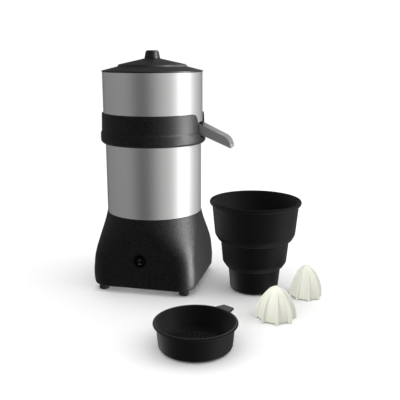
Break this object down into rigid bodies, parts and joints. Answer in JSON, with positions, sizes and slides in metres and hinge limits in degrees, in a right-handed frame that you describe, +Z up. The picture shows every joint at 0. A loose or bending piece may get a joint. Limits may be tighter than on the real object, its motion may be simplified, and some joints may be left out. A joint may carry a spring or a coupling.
{
  "type": "citrus juicer",
  "caption": "Motor-driven citrus juicer with a steel bowl and open spout, standing with its stepped cup, strainer and ribbed reamers.",
  "frame": {"origin": "middle of the set's footprint on the bench; the motor's axis stands 100 mm to -X and 104 mm to +Y of it", "axes": "+Z up, -Y the front with the switch, +X the way the spout points"},
  "size_m": [0.3743, 0.3984, 0.3882],
  "materials": {
    "black_plastic": "fine satin moulding",
    "stainless_steel": "fine brushed, running round the drums",
    "cast_aluminium": "as cast",
    "lamination_steel": "varnished",
    "winding_copper": "enamelled wire",
    "black_rubber": "matte",
    "ivory_plastic": "soft gloss",
    "grey_plastic": "satin",
    "switch_plastic": "gloss"
  },
  "bodies": {
    "housing": {"base_shell": "black_plastic", "bottom_plate": "stainless_steel", "foot_front_left": "black_rubber", "foot_front_right": "black_rubber", "foot_rear_left": "black_rubber", "foot_rear_right": "black_rubber", "foot_screw_front_left": "stainless_steel", "foot_screw_front_right": "stainless_steel", "foot_screw_rear_left": "stainless_steel", "foot_screw_rear_right": "stainless_steel", "motor_jacket": "stainless_steel", "collar_ring": "black_plastic", "deck_plate": "cast_aluminium", "deck_screw_front_left": "stainless_steel", "deck_screw_front_right": "stainless_steel", "deck_screw_rear_left": "stainless_steel", "deck_screw_rear_right": "stainless_steel", "stator_core": "lamination_steel", "upper_winding": "winding_copper", "lower_winding": "winding_copper", "upper_end_bell": "cast_aluminium", "lower_end_bell": "cast_aluminium", "motor_bolt_front_left": "stainless_steel", "motor_bolt_front_right": "stainless_steel", "motor_bolt_rear_left": "stainless_steel", "motor_bolt_rear_right": "stainless_steel", "lower_bearing_outer": "stainless_steel", "upper_bearing_outer": "stainless_steel", "shaft_seal": "black_rubber", "switch_body": "switch_plastic", "cord_gland": "black_rubber", "gland_nut": "grey_plastic", "run_capacitor": "grey_plastic", "terminal_block": "ivory_plastic", "switch_lead": "black_rubber", "motor_lead": "black_rubber"},
    "rotor": {"motor_shaft": "stainless_steel", "rotor_core": "lamination_steel", "drive_pin": "stainless_steel", "slinger_ring": "black_rubber", "cooling_fan": "grey_plastic", "lower_bearing_inner": "stainless_steel", "upper_bearing_inner": "stainless_steel"},
    "rocker": {"switch_rocker": "switch_plastic"},
    "bowl": {"bowl_wall": "stainless_steel", "bowl_floor": "stainless_steel", "spout": "stainless_steel"},
    "lid": {"lid": "black_plastic", "lid_knob": "black_plastic", "knob_screw": "stainless_steel"},
    "cup": {"juice_cup": "black_plastic"},
    "strainer": {"strainer_basket": "black_plastic", "strainer_screen": "black_plastic"},
    "reamer_large": {"reamer_large": "ivory_plastic"},
    "reamer_small": {"reamer_small": "ivory_plastic"}
  },
  "joints": [
    {"name": "rotor_spin", "type": "hinge", "parent": "housing", "child": "rotor", "pos_m": [-0.1, 0.104, 0.2], "axis": [0, 0, 1], "continuous": true},
    {"name": "switch_rock", "type": "hinge", "parent": "housing", "child": "rocker", "pos_m": [-0.1, 0.0194, 0.0572], "axis": [-1, 0, 0], "range_deg": [0, 16]},
    {"name": "bowl_lift", "type": "slide", "parent": "housing", "child": "bowl", "axis": [0, 0, 1], "range_m": [0, 0.12]},
    {"name": "lid_lift", "type": "slide", "parent": "bowl", "child": "lid", "axis": [0, 0, 1], "range_m": [0, 0.1]},
    {"name": "cup_lift", "type": "slide", "parent": "housing", "child": "cup", "axis": [0, 0, 1], "range_m": [0, 0.07]},
    {"name": "strainer_lift", "type": "slide", "parent": "housing", "child": "strainer", "axis": [0, 0, 1], "range_m": [0, 0.15]},
    {"name": "reamer_large_lift", "type": "slide", "parent": "housing", "child": "reamer_large", "axis": [0, 0, 1], "range_m": [0, 0.1]},
    {"name": "reamer_small_lift", "type": "slide", "parent": "housing", "child": "reamer_small", "axis": [0, 0, 1], "range_m": [0, 0.055]}
  ]
}
